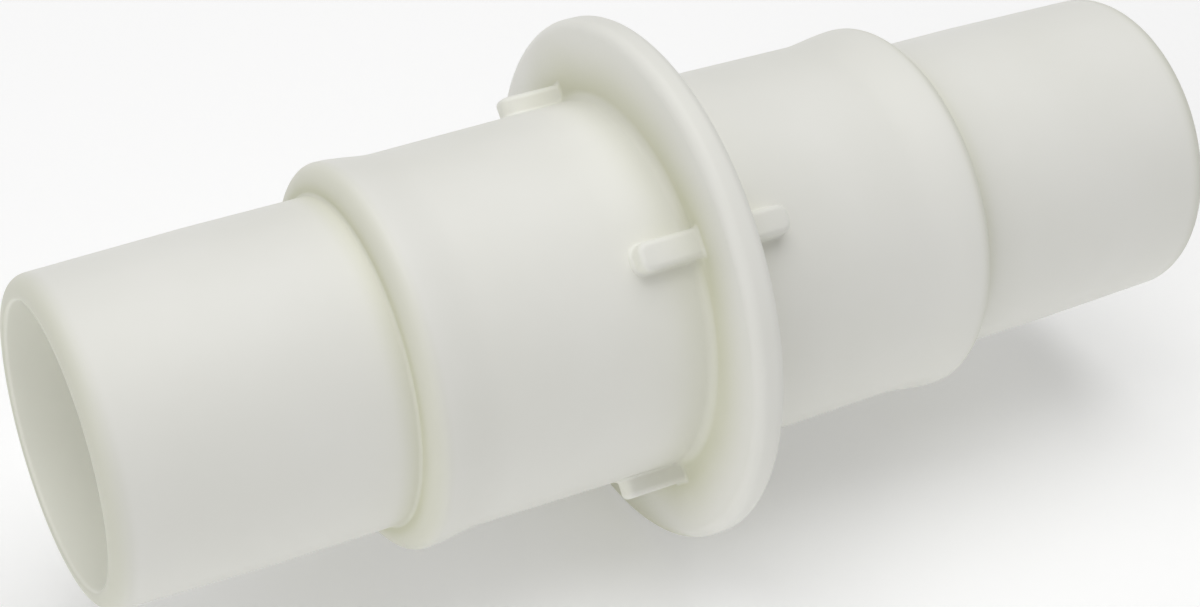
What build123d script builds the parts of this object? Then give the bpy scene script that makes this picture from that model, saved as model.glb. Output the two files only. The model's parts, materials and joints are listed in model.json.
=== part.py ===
from build123d import *
import os
from math import cos, radians, sin, tan

# A straight hose coupling, moulded in one piece. On each side of a middle flange it has a seat for
# a 38 mm hose, a rounded bead and a seat for a 32 mm hose. Each node is one section of the moulding,
# and the sections meet face to face. Millimetres, with the origin in the middle of the flange, +X
# along the tube and +Z up. Distances along the tube are counted from the middle of the flange, and
# are the same on both sides.

HALF_LENGTH = 60.7

FLANGE_RADIUS = 26.95
FLANGE_THICKNESS = 3.3
RIM_ROUND = 1.2
FOOT_FILLET = 1.0
FOOT_END_GAP = 0.5

SEAT_38_RADIUS = 19.0
SEAT_38_END_RADIUS = 18.75

BEAD_LENGTH = 6.0
BEAD_CREST_AT = 29.5
BEAD_CREST_RADIUS = 19.33

STEP_AT = 31.2
STEP_FILLET = 0.4

SEAT_32_RADIUS = 16.4
SEAT_32_LAND = 12.0
MOUTH_RADIUS = 16.07
MOUTH_ROUND = 1.75
MOUTH_INNER_ROUND = 0.5

BORE_MOUTH_RADIUS = 13.8
BORE_DRAFT = 0.3

RIB_COUNT = 4
RIB_CLOCK = 45.0
RIB_END_AT = 8.1
RIB_WIDTH = 2.7
RIB_HEIGHT = 2.0
RIB_CORNER = 1.0
RIB_EDGE = 0.6
RIB_ROOT_DEPTH = 1.0

# Where the sections of the moulding meet
FLANGE_FACE = FLANGE_THICKNESS / 2
HUB_END = FLANGE_FACE + FOOT_FILLET + FOOT_END_GAP
BEAD_START = BEAD_CREST_AT - BEAD_LENGTH

# The profile of a section is drawn with its own X along the tube, away from the flange, and its
# own Y outwards.
SIDES = {"left": -1, "right": 1}
PROFILE_PLANES = {
    "left": Plane(origin=(0, 0, 0), x_dir=(-1, 0, 0), z_dir=(0, 1, 0)),
    "right": Plane(origin=(0, 0, 0), x_dir=(1, 0, 0), z_dir=(0, -1, 0)),
}


def bore_radius(distance):
    """The water way narrows evenly from each mouth to the middle, so that its two cores draw out."""
    return BORE_MOUTH_RADIUS - (HALF_LENGTH - distance) * tan(radians(BORE_DRAFT))


def write(part, name):
    """Labels a finished section and writes its STEP file."""
    part.label = name
    export_step(part, f"parts/{name}.step")


def make_flange():
    """The disc with its rounded rim, on a short ring of tube, with a fillet on each side of its foot."""
    with BuildPart() as flange:
        with BuildSketch(Plane.XZ) as profile:
            with BuildLine():
                Polyline(
                    (0, bore_radius(0)),
                    (HUB_END, bore_radius(HUB_END)),
                    (HUB_END, SEAT_38_RADIUS),
                    (FLANGE_FACE, SEAT_38_RADIUS),
                    (FLANGE_FACE, FLANGE_RADIUS),
                    (-FLANGE_FACE, FLANGE_RADIUS),
                    (-FLANGE_FACE, SEAT_38_RADIUS),
                    (-HUB_END, SEAT_38_RADIUS),
                    (-HUB_END, bore_radius(HUB_END)),
                    close=True,
                )
            make_face()
            feet = profile.vertices().group_by(Axis.Y)[-2].sort_by(Axis.X)[1:-1]
            fillet(feet, radius=FOOT_FILLET)
            rim = profile.vertices().group_by(Axis.Y)[-1]
            fillet(rim, radius=RIM_ROUND)
        revolve(axis=Axis.X)
    return flange.part


def make_seat_38(side):
    """The large hose seat, which tapers slightly from the flange to the bead."""
    with BuildPart() as seat:
        with BuildSketch(PROFILE_PLANES[side]):
            with BuildLine():
                Polyline(
                    (HUB_END, bore_radius(HUB_END)),
                    (BEAD_START, bore_radius(BEAD_START)),
                    (BEAD_START, SEAT_38_END_RADIUS),
                    (HUB_END, SEAT_38_RADIUS),
                    close=True,
                )
            make_face()
        revolve(axis=Axis.X)
    return seat.part


def make_bead(side):
    """The rounded bead: a long rise from the large seat, then a quarter ellipse down to the step."""
    foot = SEAT_32_RADIUS + STEP_FILLET
    taper = (SEAT_38_END_RADIUS - SEAT_38_RADIUS) / (BEAD_START - HUB_END)
    with BuildPart() as bead:
        with BuildSketch(PROFILE_PLANES[side]):
            with BuildLine():
                Spline(
                    (BEAD_START, SEAT_38_END_RADIUS),
                    (BEAD_CREST_AT, BEAD_CREST_RADIUS),
                    tangents=[(1, taper), (1, 0)],
                )
                EllipticalCenterArc(
                    (BEAD_CREST_AT, foot),
                    STEP_AT - BEAD_CREST_AT,
                    BEAD_CREST_RADIUS - foot,
                    start_angle=0,
                    arc_size=90,
                )
                Polyline(
                    (STEP_AT, foot),
                    (STEP_AT, bore_radius(STEP_AT)),
                    (BEAD_START, bore_radius(BEAD_START)),
                    (BEAD_START, SEAT_38_END_RADIUS),
                )
            make_face()
        revolve(axis=Axis.X)
    return bead.part


def make_seat_32(side):
    """The small hose seat: a straight land at the step, then a lead-in that tapers to the rounded mouth."""
    land_start = STEP_AT + STEP_FILLET
    land_end = land_start + SEAT_32_LAND
    with BuildPart() as seat:
        with BuildSketch(PROFILE_PLANES[side]) as profile:
            with BuildLine():
                Polyline(
                    (land_start, SEAT_32_RADIUS),
                    (land_end, SEAT_32_RADIUS),
                    (HALF_LENGTH, MOUTH_RADIUS),
                    (HALF_LENGTH, BORE_MOUTH_RADIUS),
                    (STEP_AT, bore_radius(STEP_AT)),
                    (STEP_AT, SEAT_32_RADIUS + STEP_FILLET),
                )
                RadiusArc(
                    (STEP_AT, SEAT_32_RADIUS + STEP_FILLET),
                    (land_start, SEAT_32_RADIUS),
                    radius=-STEP_FILLET,
                )
            make_face()
            lip = profile.vertices().group_by(Axis.X)[-1].sort_by(Axis.Y)
            fillet(lip[-1], radius=MOUTH_ROUND)
            inner_edge = profile.vertices().group_by(Axis.X)[-1].sort_by(Axis.Y)[0]
            fillet(inner_edge, radius=MOUTH_INNER_ROUND)
        revolve(axis=Axis.X)
    return seat.part


def make_rib(side, clock, flange, seat):
    """A blunt block on the large seat against the flange's face, cut to the curves of both."""
    outwards = (0, cos(radians(clock)), sin(radians(clock)))
    top_radius = SEAT_38_RADIUS + RIB_HEIGHT
    start = SIDES[side] * FLANGE_FACE
    top = Plane(
        origin=(start, top_radius * outwards[1], top_radius * outwards[2]),
        x_dir=(SIDES[side], 0, 0),
        z_dir=outwards,
    )
    with BuildPart() as rib:
        with BuildSketch(top):
            length = RIB_END_AT - FLANGE_FACE
            Rectangle(length, RIB_WIDTH, align=(Align.MIN, Align.CENTER))
        extrude(amount=-(RIB_HEIGHT + RIB_ROOT_DEPTH))
        outer_end = rib.faces().sort_by(Axis(origin=(0, 0, 0), direction=top.x_dir))[-1]
        upright = outer_end.edges().filter_by(Axis(origin=(0, 0, 0), direction=outwards))
        fillet(upright, radius=RIB_CORNER)
        crown = rib.faces().sort_by(Axis(origin=(0, 0, 0), direction=outwards))[-1]
        against_flange = crown.edges().sort_by(Axis(origin=(0, 0, 0), direction=top.x_dir))[0]
        fillet(crown.edges() - ShapeList([against_flange]), radius=RIB_EDGE)
        add(flange, mode=Mode.SUBTRACT)
        add(seat, mode=Mode.SUBTRACT)
    return rib.part


os.makedirs("parts", exist_ok=True)

flange = make_flange()
write(flange, "flange")

for side in SIDES:
    seat_38 = make_seat_38(side)
    write(seat_38, f"seat_38_{side}")
    write(make_bead(side), f"bead_{side}")
    write(make_seat_32(side), f"seat_32_{side}")
    for number in range(RIB_COUNT):
        clock = RIB_CLOCK + number * 360 / RIB_COUNT
        write(make_rib(side, clock, flange, seat_38), f"rib_{side}_{number + 1}")
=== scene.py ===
import json
from math import cos, hypot, pi, radians, sin, sqrt, tan

import bmesh
import bpy
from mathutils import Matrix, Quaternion, Vector


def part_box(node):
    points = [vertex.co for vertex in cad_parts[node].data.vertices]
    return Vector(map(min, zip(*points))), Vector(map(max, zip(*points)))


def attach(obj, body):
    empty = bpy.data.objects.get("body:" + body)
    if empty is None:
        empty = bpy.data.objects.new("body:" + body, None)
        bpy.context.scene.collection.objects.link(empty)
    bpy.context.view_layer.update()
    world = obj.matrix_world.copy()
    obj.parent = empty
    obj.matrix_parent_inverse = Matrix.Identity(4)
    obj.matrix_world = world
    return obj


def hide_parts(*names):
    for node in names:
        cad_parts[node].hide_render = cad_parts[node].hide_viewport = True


# The looks of a straight hose coupling moulded in natural polyethylene. Metres, in the frame's own
# axes: X along the tube, Z up, the origin in the middle of the flange. Every section of the moulding
# is remade as a clean mesh on the sizes of its node, with the fillets that a moulding has, and takes
# the place of that node.

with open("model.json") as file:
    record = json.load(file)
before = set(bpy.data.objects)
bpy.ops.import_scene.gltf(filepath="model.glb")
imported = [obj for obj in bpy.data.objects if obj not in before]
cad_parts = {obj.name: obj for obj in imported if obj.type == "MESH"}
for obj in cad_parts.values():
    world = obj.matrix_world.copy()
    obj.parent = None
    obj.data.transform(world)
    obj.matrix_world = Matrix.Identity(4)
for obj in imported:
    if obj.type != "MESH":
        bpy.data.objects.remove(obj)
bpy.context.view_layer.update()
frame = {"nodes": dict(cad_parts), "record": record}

MM = 0.001
SIDES = {"left": -1, "right": 1}
mounts = {mount["name"]: mount for mount in frame["record"]["mounts"]}
small_seat = mounts["seat_32_right"]

# Sizes read from the frame. Distances along the tube are counted from the middle of the flange.
HALF_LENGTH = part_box("seat_32_right")[1].x
FLANGE_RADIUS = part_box("flange")[1].z
FLANGE_FACE = mounts["flange_face_right"]["pos_m"][0]
HUB_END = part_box("flange")[1].x
SEAT_38_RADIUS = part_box("seat_38_right")[1].z
BEAD_START, STEP_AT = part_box("bead_right")[0].x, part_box("bead_right")[1].x
BEAD_CREST_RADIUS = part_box("bead_right")[1].z
SEAT_32_RADIUS = small_seat["dims"]["r_mm"] * MM
LAND_END = small_seat["pos_m"][0] + small_seat["dims"]["length_mm"] * MM / 2
RIB_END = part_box("rib_right_1")[1].x
RIB_COUNT = sum(name.startswith("rib_right") for name in frame["nodes"])

# Sizes of the moulding's details, as the CAD has them
RIM_ROUND = 1.2 * MM
FOOT_FILLET = 1.0 * MM
SEAT_38_END_RADIUS = 18.75 * MM
BEAD_CREST_AT = 29.5 * MM
STEP_FILLET = 0.4 * MM
MOUTH_RADIUS = 16.07 * MM
MOUTH_ROUND = 1.75 * MM
MOUTH_INNER_ROUND = 0.5 * MM
BORE_MOUTH_RADIUS = 13.8 * MM
BORE_DRAFT = radians(0.3)
RIB_CLOCK = radians(45)
RIB_WIDTH = 2.7 * MM
RIB_HEIGHT = 2.0 * MM
RIB_CORNER = 1.0 * MM
RIB_EDGE = 0.6 * MM

# The fillet round a rib's foot, and how far a rib goes on under the surfaces that it stands on
RIB_FILLET = 0.35 * MM
RIB_SKIRT = 0.4 * MM

# Mesh fineness
TURN_STEPS = 240
CURVE_STEPS = 12
FINE_STEPS = 2 * CURVE_STEPS
RING_SPACING = 1.5 * MM
SAME_POINT = 1e-7
SHARP_ANGLE = radians(40)

# The plastic. Colours are linear.
PLASTIC_IOR = 1.5
PLASTIC_SPECULAR = 0.3
CLOUD_SCALE, CLOUD_DETAIL = 55, 4
CLOUD_STOPS = [(0.3, (0.830, 0.827, 0.772, 1)), (0.7, (0.864, 0.860, 0.814, 1))]
# Painted shade, darker and yellow-green, for the creases and the beads' shoulders
PAINTED_SHADE_COLOUR = (0.62, 0.625, 0.44, 1)
# Painted shade for the mouths' lips, darker and yellow-green
LIP_SHADE_COLOUR = (0.695, 0.697, 0.595, 1)
# Painted light: a pale colour standing in for light let through the wall
PAINTED_LIGHT_COLOUR = (0.972, 0.974, 0.890, 1)
SKIN_SCALE, SKIN_DETAIL = 420, 6
SKIN_ROUGHNESS = (0.38, 0.52)
SKIN_BUMP = 0.25
SKIN_BUMP_HEIGHT = 0.05 * MM

# Where painted shade and painted light are laid on the plastic. The stops give the painted crease
# shade's strength, as a grey, for a share of open sky; it is weaker again in the deepest creases,
# standing in for light through the plastic.
CREASE_REACH = 6.5 * MM
CREASE_SAMPLES = 8
CREASE_STOPS = [(0.3, (0.15, 0.15, 0.15, 1)), (0.6, (0.62, 0.62, 0.62, 1)), (1.0, (0, 0, 0, 1))]
CREASE_SIDEWAYS, CREASE_ENDWAYS = 0.3, 1.3
CREASE_ON_SEAT = 0.25
# Painted shade on the beads' shoulders: how far it reaches and how strong it is
BEAD_SHADE_REACH = 3.0 * MM
BEAD_SHADE_STRENGTH = 0.4
LIP_SHADE_REACH = 2.5 * MM
TIP_FACING = 0.3
TIP_LIGHT_STRENGTH = 0.5

# The floor, the lights, the world and the camera
FLOOR_REACH = 5.0
FLOOR_COLOUR = (0.93, 0.93, 0.93, 1)
FLOOR_ROUGHNESS = 0.9
FLOOR_GLOW = 0.14
WHITE = (1, 1, 1, 1)
LIGHT_SIZE = 0.9
LIGHTS = {"key": ((0.02, 0.05, 0.85), 5.3), "left": ((-1.00, -0.45, 0.35), 2.8)}
WORLD_STRENGTH = 0.29
CAMERA_PLACE = Vector((-108.52, -179.47, 153.69)) * MM
CAMERA_AIM = Vector((-3.45, 0.24, -2.14)) * MM
CAMERA_ROLL = radians(2.99)
CAMERA_SENSOR = 36
CAMERA_LENS = 77.2
CAMERA_NEAR = 0.01


def bore_radius(distance):
    """The water way narrows evenly from each mouth to the middle of the flange."""
    return BORE_MOUTH_RADIUS - (HALF_LENGTH - distance) * tan(BORE_DRAFT)


def quarter(steps=CURVE_STEPS):
    """The angles of a quarter turn, without its start."""
    return [pi / 2 * i / steps for i in range(1, steps + 1)]


def curve(centre, along, outwards, start, end, steps=CURVE_STEPS):
    """Points of an ellipse about centre, between two angles in degrees, from +X towards +radius."""
    angles = [radians(start + (end - start) * i / steps) for i in range(steps + 1)]
    return [(centre[0] + along * cos(a), centre[1] + outwards * sin(a)) for a in angles]


def straight(start, end):
    """Points along a straight stretch of an outline, for even faces, without its last point."""
    along, outwards = end[0] - start[0], end[1] - start[1]
    steps = max(1, round(hypot(along, outwards) / RING_SPACING))
    return [(start[0] + along * i / steps, start[1] + outwards * i / steps) for i in range(steps)]


def joined(points):
    """An outline without the points that two of its stretches share."""
    kept = []
    for point in points:
        if not kept or hypot(point[0] - kept[-1][0], point[1] - kept[-1][1]) > SAME_POINT:
            kept.append(point)
    return kept


def finished(work, name):
    """Turns the mesh that was worked on into a named mesh with its faces outwards."""
    bmesh.ops.recalc_face_normals(work, faces=work.faces)
    mesh = bpy.data.meshes.new(name)
    work.to_mesh(mesh)
    work.free()
    return mesh


def add_piece(name, mesh, node):
    """Puts a finished mesh in the scene in place of its node."""
    mesh.shade_smooth()
    mesh.set_sharp_from_angle(angle=SHARP_ANGLE)
    mesh.materials.append(plastic)
    piece = bpy.data.objects.new(name, mesh)
    bpy.context.scene.collection.objects.link(piece)
    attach(piece, "root")
    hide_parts(node)


def add_ring(name, outline, node, side=1):
    """A piece revolved about the X axis from its outline, in distance along the tube and radius."""
    work = bmesh.new()
    rings = []
    for i in range(TURN_STEPS):
        turn = 2 * pi * i / TURN_STEPS
        ring = [work.verts.new((side * x, r * cos(turn), r * sin(turn))) for x, r in outline]
        rings.append(ring)
    for i in range(TURN_STEPS):
        here, following = rings[i], rings[(i + 1) % TURN_STEPS]
        for j in range(len(outline)):
            k = (j + 1) % len(outline)
            work.faces.new((here[j], here[k], following[k], following[j]))
    add_piece(name, finished(work, name), node)


def flange_outline():
    """The disc with its round rim and the fillets at its foot, on a short ring of the tube."""
    rim = FLANGE_RADIUS - RIM_ROUND
    foot = SEAT_38_RADIUS + FOOT_FILLET
    fillet_end = FLANGE_FACE + FOOT_FILLET
    half = joined(
        straight((HUB_END, bore_radius(HUB_END)), (HUB_END, SEAT_38_RADIUS))
        + straight((HUB_END, SEAT_38_RADIUS), (fillet_end, SEAT_38_RADIUS))
        + curve((fillet_end, foot), FOOT_FILLET, FOOT_FILLET, 270, 180)
        + straight((FLANGE_FACE, foot), (FLANGE_FACE, rim))
        + curve((FLANGE_FACE - RIM_ROUND, rim), RIM_ROUND, RIM_ROUND, 0, 90)
    )
    mirrored = [(-x, r) for x, r in reversed(half)]
    bottom = straight((-HUB_END, bore_radius(HUB_END)), (0, bore_radius(0)))
    bottom += straight((0, bore_radius(0)), (HUB_END, bore_radius(HUB_END)))
    return joined(half + mirrored + bottom[1:])


def seat_38_outline():
    """The large hose seat."""
    corners = [
        (HUB_END, bore_radius(HUB_END)),
        (BEAD_START, bore_radius(BEAD_START)),
        (BEAD_START, SEAT_38_END_RADIUS),
        (HUB_END, SEAT_38_RADIUS),
    ]
    return joined([p for a, b in zip(corners, corners[1:] + corners[:1]) for p in straight(a, b)])


def bead_outline():
    """The long rise from the large seat to the crest, and the quarter ellipse down to the step."""
    foot = SEAT_32_RADIUS + STEP_FILLET
    length = BEAD_CREST_AT - BEAD_START
    slope = (SEAT_38_END_RADIUS - SEAT_38_RADIUS) / (BEAD_START - HUB_END) * length
    # The rise is a cubic that leaves the seat along its taper and is level at the crest
    rise = []
    for i in range(FINE_STEPS + 1):
        t = i / FINE_STEPS
        start = (2 * t**3 - 3 * t**2 + 1) * SEAT_38_END_RADIUS
        crest = (3 * t**2 - 2 * t**3) * BEAD_CREST_RADIUS
        tangent = (t**3 - 2 * t**2 + t) * slope
        rise.append((BEAD_START + length * t, start + crest + tangent))
    fall_length, fall_height = STEP_AT - BEAD_CREST_AT, BEAD_CREST_RADIUS - foot
    fall = curve((BEAD_CREST_AT, foot), fall_length, fall_height, 90, 0, FINE_STEPS)
    corners = [
        (STEP_AT, foot),
        (STEP_AT, bore_radius(STEP_AT)),
        (BEAD_START, bore_radius(BEAD_START)),
        (BEAD_START, SEAT_38_END_RADIUS),
    ]
    inside = [p for a, b in zip(corners, corners[1:]) for p in straight(a, b)]
    return joined(rise + fall + inside)


def seat_32_outline():
    """The small hose seat: fillet at the step, land, tapered lead-in, round mouth and bore."""
    land_start = STEP_AT + STEP_FILLET
    foot = SEAT_32_RADIUS + STEP_FILLET
    taper = (SEAT_32_RADIUS - MOUTH_RADIUS) / (HALF_LENGTH - LAND_END)
    round_start = (HALF_LENGTH - MOUTH_ROUND, MOUTH_RADIUS + taper * MOUTH_ROUND)
    round_centre = (round_start[0], round_start[1] - MOUTH_ROUND)
    inner_centre = (HALF_LENGTH - MOUTH_INNER_ROUND, BORE_MOUTH_RADIUS + MOUTH_INNER_ROUND)
    return joined(
        curve((land_start, foot), STEP_FILLET, STEP_FILLET, 180, 270)
        + straight((land_start, SEAT_32_RADIUS), (LAND_END, SEAT_32_RADIUS))
        + straight((LAND_END, SEAT_32_RADIUS), round_start)
        + curve(round_centre, MOUTH_ROUND, MOUTH_ROUND, 90, 0, FINE_STEPS)
        + straight((HALF_LENGTH, round_centre[1]), (HALF_LENGTH, inner_centre[1]))
        + curve(inner_centre, MOUTH_INNER_ROUND, MOUTH_INNER_ROUND, 0, -90)
        + straight((inner_centre[0], BORE_MOUTH_RADIUS), (STEP_AT, bore_radius(STEP_AT)))
        + straight((STEP_AT, bore_radius(STEP_AT)), (STEP_AT, foot))
    )


def foot_radius(distance):
    """Radius of the surface that a rib stands on, with the fillet at the flange's foot."""
    short = max(0.0, FLANGE_FACE + FOOT_FILLET - distance)
    return SEAT_38_RADIUS + FOOT_FILLET - sqrt(max(0.0, FOOT_FILLET**2 - short**2))


def rib_plan():
    """One side of a rib from above: points, each with the way in which the rib grows there."""
    side_line = RIB_WIDTH / 2 - RIB_CORNER
    far = RIB_END - RIB_CORNER
    near = FLANGE_FACE + RIB_FILLET
    lengths = [FLANGE_FACE - RIB_SKIRT, FLANGE_FACE]
    lengths += [FLANGE_FACE + RIB_FILLET * (1 - cos(a)) for a in quarter()]
    lengths += [near + (far - near) * i / CURVE_STEPS for i in range(1, CURVE_STEPS + 1)]
    plan = [((x, side_line), (0, 1)) for x in lengths]
    plan += [((far, side_line), (sin(a), cos(a))) for a in quarter()]
    return plan


def rib_section():
    """A rib's side from the top to under its foot: growth, the level it counts from and height."""
    angles = [0.0] + quarter()
    section = [(RIB_EDGE * (sin(a) - 1), "top", RIB_EDGE * (cos(a) - 1)) for a in angles]
    section += [(RIB_FILLET * (1 - cos(a)), "foot", RIB_FILLET * (1 - sin(a))) for a in angles]
    section += [(RIB_FILLET, "foot", -RIB_SKIRT)]
    return section


def add_rib(name, node, side, clock):
    """A blunt block with round edges, filleted to the tube and the flange, closed underneath."""
    plan, section = rib_plan(), rib_section()
    mirrored = [((x, -y), (dx, -dy)) for (x, y), (dx, dy) in reversed(plan)]
    top = SEAT_38_RADIUS + RIB_HEIGHT
    work = bmesh.new()
    loops = []
    for (x, y), (dx, dy) in plan + mirrored:
        near = max(0.0, RIB_FILLET - max(0.0, x - FLANGE_FACE))
        flare = RIB_FILLET - sqrt(max(0.0, RIB_FILLET**2 - near**2))
        loop = []
        for growth, level, height in section:
            grown = RIB_CORNER + growth + flare
            place_x, place_y = x + grown * dx, y + grown * dy
            base = top + flare if level == "top" else foot_radius(max(place_x, FLANGE_FACE))
            radius = base + height
            turn = clock + place_y / SEAT_38_RADIUS
            loop.append(work.verts.new((side * place_x, radius * cos(turn), radius * sin(turn))))
        loops.append(loop)
    for here, following in zip(loops, loops[1:]):
        for j in range(len(section) - 1):
            work.faces.new((here[j], here[j + 1], following[j + 1], following[j]))
    # Each loop faces its mirror image, so the top, the underside and the hidden end are strips
    for i in range(len(plan) - 1):
        a, b = loops[i], loops[i + 1]
        c, d = loops[-1 - i], loops[-2 - i]
        work.faces.new((a[0], b[0], d[0], c[0]))
        work.faces.new((a[-1], c[-1], d[-1], b[-1]))
    for j in range(len(section) - 1):
        work.faces.new((loops[0][j], loops[-1][j], loops[-1][j + 1], loops[0][j + 1]))
    bmesh.ops.remove_doubles(work, verts=work.verts, dist=SAME_POINT)
    add_piece(name, finished(work, name), node)


def new_material(name):
    """A new material, with its node tree and its shader."""
    material = bpy.data.materials.new(name)
    material.use_nodes = True
    return material, material.node_tree, material.node_tree.nodes["Principled BSDF"]


def noise(tree, place, scale, detail):
    """Noise on the object's own places."""
    node = tree.nodes.new("ShaderNodeTexNoise")
    node.inputs["Scale"].default_value = scale
    node.inputs["Detail"].default_value = detail
    tree.links.new(place, node.inputs["Vector"])
    return node.outputs["Fac"]


def ramp(tree, value, stops):
    """A colour for each stop of a value, blended in between."""
    node = tree.nodes.new("ShaderNodeValToRGB")
    elements = node.color_ramp.elements
    elements[0].position, elements[0].color = stops[0]
    elements[1].position, elements[1].color = stops[-1]
    for position, colour in stops[1:-1]:
        elements.new(position).color = colour
    tree.links.new(value, node.inputs["Fac"])
    return node.outputs["Color"]


def mapped(tree, value, start=0, end=1, low=0, high=1, kind="SMOOTHSTEP"):
    """Low where a value is at its start, high where it is at its end, and in between a blend."""
    node = tree.nodes.new("ShaderNodeMapRange")
    node.interpolation_type = kind
    node.inputs["From Min"].default_value = start
    node.inputs["From Max"].default_value = end
    node.inputs["To Min"].default_value = low
    node.inputs["To Max"].default_value = high
    tree.links.new(value, node.inputs["Value"])
    return node.outputs["Result"]


def calculated(tree, operation, *values):
    """The result of an operation on one or two values."""
    node = tree.nodes.new("ShaderNodeMath")
    node.operation = operation
    for value, socket in zip(values, node.inputs):
        tree.links.new(value, socket)
    return node.outputs["Value"]


def tinted(tree, colour, tint, strength):
    """A colour with a tint laid over it."""
    node = tree.nodes.new("ShaderNodeMix")
    node.data_type = "RGBA"
    node.inputs["B"].default_value = tint
    tree.links.new(strength, node.inputs["Factor"])
    tree.links.new(colour, node.inputs["A"])
    return node.outputs["Result"]


def distances(tree, place):
    """A place's distance along the tube from the middle of the flange, and its radius."""
    axes = tree.nodes.new("ShaderNodeSeparateXYZ")
    tree.links.new(place, axes.inputs["Vector"])
    across = tree.nodes.new("ShaderNodeCombineXYZ")
    tree.links.new(axes.outputs["Y"], across.inputs["Y"])
    tree.links.new(axes.outputs["Z"], across.inputs["Z"])
    radius = tree.nodes.new("ShaderNodeVectorMath")
    radius.operation = "LENGTH"
    tree.links.new(across.outputs["Vector"], radius.inputs[0])
    return calculated(tree, "ABSOLUTE", axes.outputs["X"]), radius.outputs["Value"]


def make_plastic():
    """Natural polyethylene: off-white with faint clouds and a satin skin. Painted shade, darker and
    yellow-green, lies in the creases, on the beads' shoulders and at the lips, and painted light
    makes the bore and the ribs' free ends paler, standing in for light through the wall."""
    material, tree, shader = new_material("natural_polyethylene")
    shader.inputs["IOR"].default_value = PLASTIC_IOR
    shader.inputs["Specular IOR Level"].default_value = PLASTIC_SPECULAR

    coordinates = tree.nodes.new("ShaderNodeTexCoord")
    place = coordinates.outputs["Object"]
    distance, radius = distances(tree, place)
    clouds = ramp(tree, noise(tree, place, CLOUD_SCALE, CLOUD_DETAIL), CLOUD_STOPS)

    # 1 on the large seats between the flange's foot and the bead, where the ribs' free ends are
    past_foot = mapped(tree, distance, FLANGE_FACE + 2 * FOOT_FILLET, RIB_END - RIB_CORNER)
    before_bead = mapped(tree, distance, BEAD_START, (RIB_END + BEAD_START) / 2)
    on_seat = calculated(tree, "MULTIPLY", past_foot, before_bead)

    # Painted shade: creases darkened and tinted yellow-green by their share of open sky, mostly on
    # the faces that look along the tube
    hollow = tree.nodes.new("ShaderNodeAmbientOcclusion")
    hollow.samples = CREASE_SAMPLES
    hollow.inputs["Distance"].default_value = CREASE_REACH
    crease_shade_depth = ramp(tree, hollow.outputs["AO"], CREASE_STOPS)
    normal = tree.nodes.new("ShaderNodeSeparateXYZ")
    tree.links.new(coordinates.outputs["Normal"], normal.inputs["Vector"])
    endways = calculated(tree, "ABSOLUTE", normal.outputs["X"])
    share = mapped(tree, endways, low=CREASE_SIDEWAYS, high=CREASE_ENDWAYS, kind="LINEAR")
    kept = mapped(tree, on_seat, low=1, high=CREASE_ON_SEAT, kind="LINEAR")
    painted_crease_shade = calculated(tree, "MULTIPLY", calculated(tree, "MULTIPLY", crease_shade_depth, share), kept)

    # Painted shade, in the creases' darker yellow-green, on the beads' shoulders and the small seats
    # just past them
    shoulder_start, shoulder_end = BEAD_CREST_AT - BEAD_SHADE_REACH / 5, BEAD_CREST_AT + BEAD_SHADE_REACH / 2
    rise = mapped(tree, distance, shoulder_start, shoulder_end, high=BEAD_SHADE_STRENGTH)
    fall = mapped(tree, distance, STEP_AT + BEAD_SHADE_REACH, STEP_AT)
    painted_shoulder_shade = calculated(tree, "MULTIPLY", rise, fall)
    colour = tinted(tree, clouds, PAINTED_SHADE_COLOUR, calculated(tree, "MAXIMUM", painted_crease_shade, painted_shoulder_shade))

    # Painted shade at the lips, growing towards each mouth
    painted_lip_shade = mapped(tree, distance, HALF_LENGTH - LIP_SHADE_REACH, HALF_LENGTH)
    colour = tinted(tree, colour, LIP_SHADE_COLOUR, painted_lip_shade)

    # Painted light: the bore and the ribs' free ends made paler, standing in for light through the
    # wall and for lighter shading
    bore_edge = BORE_MOUTH_RADIUS + MOUTH_INNER_ROUND / 2
    bore = mapped(tree, radius, BORE_MOUTH_RADIUS, bore_edge, low=1, high=0, kind="LINEAR")
    facing = mapped(tree, endways, start=TIP_FACING, high=TIP_LIGHT_STRENGTH)
    painted_tip_light = calculated(tree, "MULTIPLY", facing, on_seat)
    colour = tinted(tree, colour, PAINTED_LIGHT_COLOUR, calculated(tree, "MAXIMUM", bore, painted_tip_light))
    tree.links.new(colour, shader.inputs["Base Color"])

    skin = noise(tree, place, SKIN_SCALE, SKIN_DETAIL)
    smoothest, roughest = SKIN_ROUGHNESS
    roughness = mapped(tree, skin, low=smoothest, high=roughest, kind="LINEAR")
    tree.links.new(roughness, shader.inputs["Roughness"])
    bump = tree.nodes.new("ShaderNodeBump")
    bump.inputs["Strength"].default_value = SKIN_BUMP
    bump.inputs["Distance"].default_value = SKIN_BUMP_HEIGHT
    tree.links.new(skin, bump.inputs["Height"])
    tree.links.new(bump.outputs["Normal"], shader.inputs["Normal"])
    return material


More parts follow.
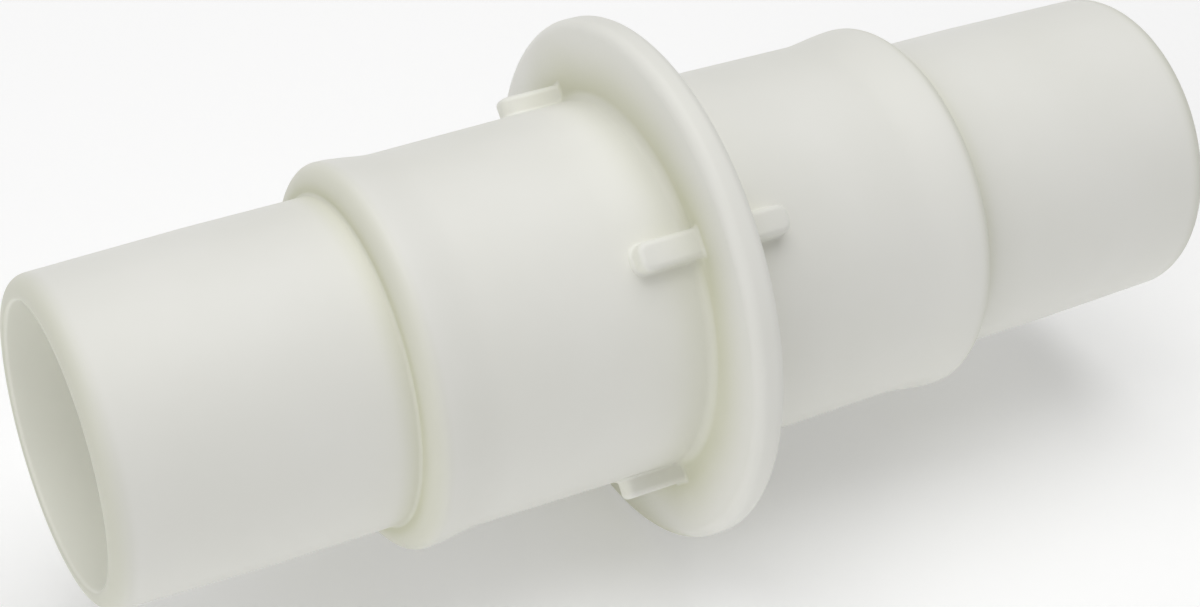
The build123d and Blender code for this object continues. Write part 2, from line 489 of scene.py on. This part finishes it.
def make_floor():
    """A plain pale table that glows a little, as a product photographer's light table does."""
    material, _, shader = new_material("light_table")
    shader.inputs["Base Color"].default_value = FLOOR_COLOUR
    shader.inputs["Roughness"].default_value = FLOOR_ROUGHNESS
    shader.inputs["Emission Color"].default_value = WHITE
    shader.inputs["Emission Strength"].default_value = FLOOR_GLOW
    shader.inputs["Specular IOR Level"].default_value = 0.0
    mesh = bpy.data.meshes.new("floor")
    corners = [(-1, -1), (1, -1), (1, 1), (-1, 1)]
    places = [(x * FLOOR_REACH, y * FLOOR_REACH, -FLANGE_RADIUS) for x, y in corners]
    mesh.from_pydata(places, [], [(0, 1, 2, 3)])
    mesh.materials.append(material)
    floor = bpy.data.objects.new("floor", mesh)
    bpy.context.scene.collection.objects.link(floor)


def make_light(name, place, power):
    """A square soft box that faces the coupling."""
    lamp = bpy.data.lights.new(name, "AREA")
    lamp.size = LIGHT_SIZE
    lamp.energy = power
    light = bpy.data.objects.new(name, lamp)
    light.location = place
    light.rotation_mode = "QUATERNION"
    light.rotation_quaternion = (-Vector(place)).to_track_quat("-Z", "Y")
    bpy.context.scene.collection.objects.link(light)


def make_world():
    """An even white surrounding."""
    world = bpy.data.worlds.new("studio")
    world.use_nodes = True
    background = world.node_tree.nodes["Background"]
    background.inputs["Color"].default_value = WHITE
    background.inputs["Strength"].default_value = WORLD_STRENGTH
    bpy.context.scene.world = world
    bpy.context.scene.view_settings.view_transform = "Standard"


def make_camera():
    """A short telephoto view from the left and above, rolled slightly."""
    data = bpy.data.cameras.new("camera")
    data.sensor_width = CAMERA_SENSOR
    data.lens = CAMERA_LENS
    data.clip_start = CAMERA_NEAR
    camera = bpy.data.objects.new("camera", data)
    camera.rotation_mode = "QUATERNION"
    camera.location = CAMERA_PLACE
    forward = (CAMERA_AIM - CAMERA_PLACE).normalized()
    level = forward.to_track_quat("-Z", "Y")
    camera.rotation_quaternion = Quaternion(forward, -CAMERA_ROLL) @ level
    bpy.context.scene.collection.objects.link(camera)
    bpy.context.scene.camera = camera


plastic = make_plastic()
add_ring("flange_disc", flange_outline(), "flange")
for side, sign in SIDES.items():
    add_ring(f"large_seat_{side}", seat_38_outline(), f"seat_38_{side}", sign)
    add_ring(f"round_bead_{side}", bead_outline(), f"bead_{side}", sign)
    add_ring(f"small_seat_{side}", seat_32_outline(), f"seat_32_{side}", sign)
    for number in range(RIB_COUNT):
        label = f"{side}_{number + 1}"
        clock = RIB_CLOCK + number * 2 * pi / RIB_COUNT
        add_rib(f"blunt_rib_{label}", f"rib_{label}", sign, clock)

make_floor()
for name, (place, power) in LIGHTS.items():
    make_light(name, place, power)
make_camera()
make_world()
